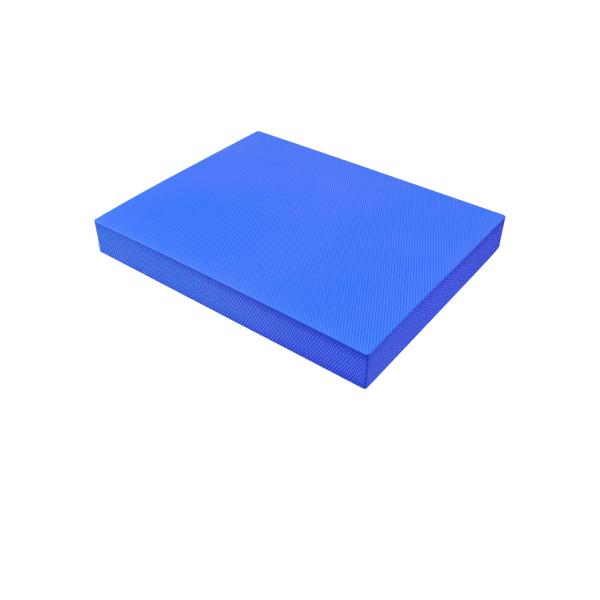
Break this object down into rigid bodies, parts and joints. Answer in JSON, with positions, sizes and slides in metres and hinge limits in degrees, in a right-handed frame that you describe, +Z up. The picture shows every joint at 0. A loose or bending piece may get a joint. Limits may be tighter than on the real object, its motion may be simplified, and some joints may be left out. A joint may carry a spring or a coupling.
{
  "type": "balance pad",
  "caption": "Rectangular closed-cell foam balance pad with an embossed anti-slip skin on every face, laid flat on the floor for balance training and physiotherapy.",
  "frame": {"origin": "centre of the flat face that the pad lies on, at floor level", "axes": "+X along the long side, +Y from the front side to the rear side, +Z up through the thickness"},
  "size_m": [0.48, 0.38, 0.058],
  "materials": {
    "face_skin": "matt embossed closed-cell foam skin with raised lozenges, soft sheen",
    "side_skin": "matt embossed closed-cell foam skin with raised lozenges, soft sheen",
    "foam_core": "cut closed-cell foam, fine cells, fully matt",
    "bond_film": "thin milky hot-melt film, satin"
  },
  "bodies": {
    "root": {"top_skin": "face_skin", "bottom_skin": "face_skin", "front_side_skin": "side_skin", "rear_side_skin": "side_skin", "left_side_skin": "side_skin", "right_side_skin": "side_skin", "upper_foam_layer": "foam_core", "middle_foam_layer": "foam_core", "lower_foam_layer": "foam_core", "upper_bond_film": "bond_film", "lower_bond_film": "bond_film"}
  },
  "joints": []
}
